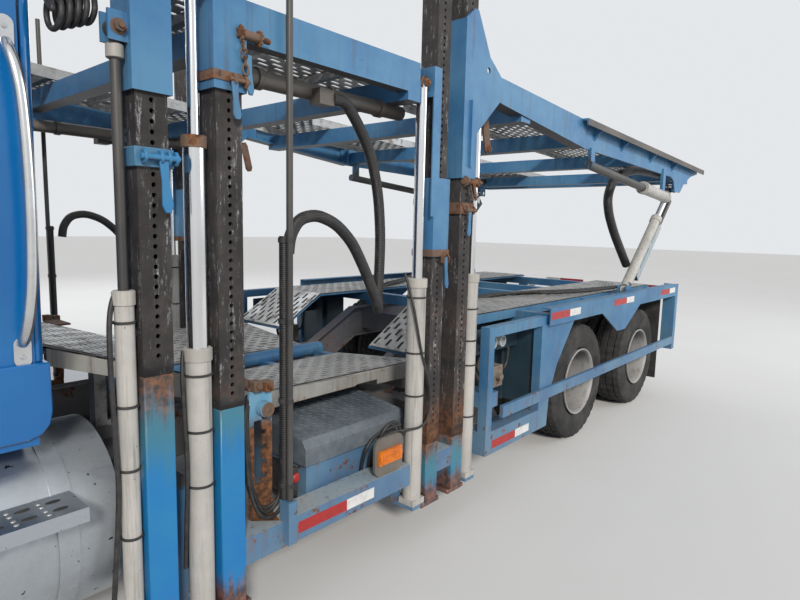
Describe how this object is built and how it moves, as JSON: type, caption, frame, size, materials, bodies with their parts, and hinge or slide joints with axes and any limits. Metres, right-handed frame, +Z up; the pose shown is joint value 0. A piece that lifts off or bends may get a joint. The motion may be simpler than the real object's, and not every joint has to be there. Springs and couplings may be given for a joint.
{
  "type": "car transporter truck",
  "caption": "Car transporter truck with a blue conventional cab, perforated posts, lift cylinders, a lower deck and upper decks that slide and tilt on them",
  "frame": {"origin": "on the ground, midway along the truck and on its centre plane", "axes": "+X back along the truck, +Y to its right, +Z up"},
  "size_m": [9.4, 2.69, 3.05],
  "materials": {
    "cab_paint": "glossy blue paint",
    "frame_paint": "faded blue paint with rust at the edges",
    "bare_steel": "weathered grey-brown steel",
    "cylinder_paint": "ivory paint",
    "rod_chrome": "polished",
    "runway_zinc": "galvanised",
    "tank_metal": "brushed",
    "axle_iron": "dusty black",
    "wheel_steel": "dusty grey-white",
    "tyre_rubber": "dusty rubber",
    "window": "clear",
    "lens": "clear lens",
    "amber": "amber lens",
    "black_trim": "matt black",
    "grille_metal": "bright",
    "box_paint": "blue paint",
    "hose_rubber": "matt black rubber",
    "lid_plastic": "grey"
  },
  "bodies": {
    "truck": {"chassis_frame": "frame_paint", "tow_stinger": "frame_paint", "engine_block": "axle_iron", "cab_shell": "cab_paint", "cab_glass": "window", "dashboard": "black_trim", "seats": "black_trim", "front_bumper": "cab_paint", "front_axle": "axle_iron", "drive_axles": "axle_iron", "fuel_tanks": "tank_metal", "lift_posts": "bare_steel", "lift_barrels": "cylinder_paint", "side_frames": "frame_paint", "marker_lamps": "amber", "battery_box": "box_paint", "hydraulic_hoses": "hose_rubber", "oil_tank": "box_paint", "lower_front_deck": "runway_zinc", "lower_rear_deck": "frame_paint", "mudflaps": "black_trim", "rear_carriages": "frame_paint", "rear_carriage_rods": "rod_chrome", "grab_handles": "rod_chrome"},
    "hood": {"hood": "cab_paint", "grille": "grille_metal", "headlamps": "lens"},
    "door_left": {"door_left": "cab_paint", "door_glass_left": "window"},
    "door_right": {"door_right": "cab_paint", "door_glass_right": "window"},
    "battery_lid": {"battery_lid": "lid_plastic"},
    "knuckle_left": {"knuckle_left": "axle_iron"},
    "knuckle_right": {"knuckle_right": "axle_iron"},
    "wheel_front_left": {"wheel_front_left": "wheel_steel", "tyre_front_left": "tyre_rubber"},
    "wheel_front_right": {"wheel_front_right": "wheel_steel", "tyre_front_right": "tyre_rubber"},
    "wheels_drive_1_left": {"wheels_drive_1_left": "wheel_steel", "tyres_drive_1_left": "tyre_rubber"},
    "wheels_drive_1_right": {"wheels_drive_1_right": "wheel_steel", "tyres_drive_1_right": "tyre_rubber"},
    "wheels_drive_2_left": {"wheels_drive_2_left": "wheel_steel", "tyres_drive_2_left": "tyre_rubber"},
    "wheels_drive_2_right": {"wheels_drive_2_right": "wheel_steel", "tyres_drive_2_right": "tyre_rubber"},
    "head_deck": {"head_deck": "frame_paint", "head_runways": "runway_zinc", "head_deck_rods": "rod_chrome"},
    "mid_deck": {"mid_deck": "frame_paint", "mid_runways": "runway_zinc", "mid_deck_rods": "rod_chrome", "mid_deck_hoses": "hose_rubber"},
    "rear_deck": {"rear_deck": "frame_paint", "rear_runways": "runway_zinc", "rear_deck_hoses": "hose_rubber"},
    "arm_barrel_left": {"rear_arm_barrel_left": "cylinder_paint"},
    "arm_barrel_right": {"rear_arm_barrel_right": "cylinder_paint"},
    "arm_rod_left": {"rear_arm_rod_left": "rod_chrome"},
    "arm_rod_right": {"rear_arm_rod_right": "rod_chrome"}
  },
  "joints": [
    {"name": "hood_tilt", "type": "hinge", "parent": "truck", "child": "hood", "pos_m": [-4.58, 0, 0.7], "axis": [0, -1, 0], "range_deg": [0, 55]},
    {"name": "door_left_swing", "type": "hinge", "parent": "truck", "child": "door_left", "pos_m": [-2.86, -1.102, 1.67], "axis": [0, 0, -1], "range_deg": [0, 70]},
    {"name": "door_right_swing", "type": "hinge", "parent": "truck", "child": "door_right", "pos_m": [-2.86, 1.102, 1.67], "axis": [0, 0, 1], "range_deg": [0, 70]},
    {"name": "battery_lid_lift", "type": "hinge", "parent": "truck", "child": "battery_lid", "pos_m": [-0.425, -0.572, 0.658], "axis": [-1, 0, 0], "range_deg": [0, 15]},
    {"name": "steer_left", "type": "hinge", "parent": "truck", "child": "knuckle_left", "pos_m": [-3.65, -0.83, 0.46], "axis": [0, 0, 1], "range_deg": [-30, 30]},
    {"name": "steer_right", "type": "hinge", "parent": "truck", "child": "knuckle_right", "pos_m": [-3.65, 0.83, 0.46], "axis": [0, 0, 1], "range_deg": [-30, 30]},
    {"name": "roll_front_left", "type": "hinge", "parent": "knuckle_left", "child": "wheel_front_left", "pos_m": [-3.65, -1.05, 0.46], "axis": [0, 1, 0], "continuous": true},
    {"name": "roll_front_right", "type": "hinge", "parent": "knuckle_right", "child": "wheel_front_right", "pos_m": [-3.65, 1.05, 0.46], "axis": [0, 1, 0], "continuous": true},
    {"name": "roll_drive_1_left", "type": "hinge", "parent": "truck", "child": "wheels_drive_1_left", "pos_m": [1.99, -0.9, 0.46], "axis": [0, 1, 0], "continuous": true},
    {"name": "roll_drive_1_right", "type": "hinge", "parent": "truck", "child": "wheels_drive_1_right", "pos_m": [1.99, 0.9, 0.46], "axis": [0, 1, 0], "continuous": true},
    {"name": "roll_drive_2_left", "type": "hinge", "parent": "truck", "child": "wheels_drive_2_left", "pos_m": [3.31, -0.9, 0.46], "axis": [0, 1, 0], "continuous": true},
    {"name": "roll_drive_2_right", "type": "hinge", "parent": "truck", "child": "wheels_drive_2_right", "pos_m": [3.31, 0.9, 0.46], "axis": [0, 1, 0], "continuous": true},
    {"name": "head_deck_lift", "type": "slide", "parent": "truck", "child": "head_deck", "axis": [0, 0, 1], "range_m": [-0.05, 0.3]},
    {"name": "mid_deck_lift", "type": "slide", "parent": "truck", "child": "mid_deck", "axis": [0, 0, 1], "range_m": [-0.45, 0.15]},
    {"name": "rear_deck_tilt", "type": "hinge", "parent": "truck", "child": "rear_deck", "pos_m": [0.45, 0, 2.42], "axis": [0, -1, 0], "range_deg": [-5, 3]},
    {"name": "arm_swing_left", "type": "hinge", "parent": "truck", "child": "arm_barrel_left", "pos_m": [2.915, -1.15, 1.13], "axis": [0, -1, 0], "range_deg": [-9, 5.5]},
    {"name": "arm_extend_left", "type": "slide", "parent": "arm_barrel_left", "child": "arm_rod_left", "axis": [0.75, 0, 0.6614], "range_m": [-0.229, 0.139]},
    {"name": "arm_swing_right", "type": "hinge", "parent": "truck", "child": "arm_barrel_right", "pos_m": [2.915, 1.15, 1.13], "axis": [0, -1, 0], "range_deg": [-9, 5.5]},
    {"name": "arm_extend_right", "type": "slide", "parent": "arm_barrel_right", "child": "arm_rod_right", "axis": [0.75, 0, 0.6614], "range_m": [-0.229, 0.139]}
  ],
  "couplings": [
    {"joint": "steer_right", "follows": "steer_left", "ratio": 1},
    {"joint": "arm_swing_left", "follows": "rear_deck_tilt", "ratio": 1.76},
    {"joint": "arm_extend_left", "follows": "rear_deck_tilt", "m_per_rad": 2.58},
    {"joint": "arm_swing_right", "follows": "rear_deck_tilt", "ratio": 1.76},
    {"joint": "arm_extend_right", "follows": "rear_deck_tilt", "m_per_rad": 2.58}
  ]
}
